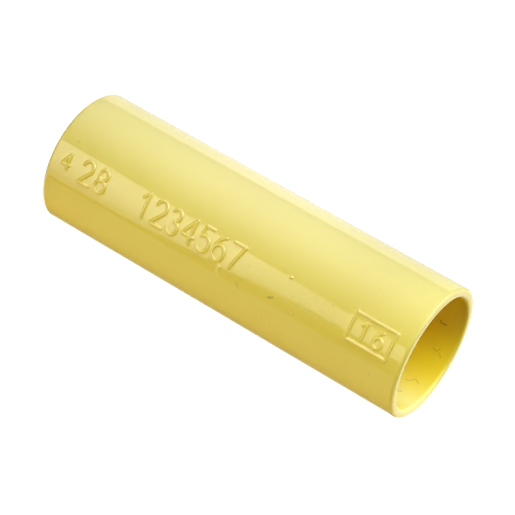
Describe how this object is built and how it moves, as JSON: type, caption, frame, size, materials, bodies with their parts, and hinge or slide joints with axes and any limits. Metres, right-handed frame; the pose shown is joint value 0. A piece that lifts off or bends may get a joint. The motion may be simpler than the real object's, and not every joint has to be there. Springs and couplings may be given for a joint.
{
  "type": "conduit coupling",
  "caption": "Straight push-on coupling sleeve for rigid electrical conduit, with a socket at each end and a ring stop between them.",
  "frame": {"origin": "centre of the lower end face, which the sleeve stands on", "axes": "+Z along the sleeve's axis, up through both sockets; the raised marks face -Y"},
  "size_m": [0.019, 0.019, 0.0575],
  "materials": {
    "yellow_pvc": "moulded gloss"
  },
  "bodies": {
    "root": {"coupling_sleeve": "yellow_pvc"}
  },
  "joints": []
}
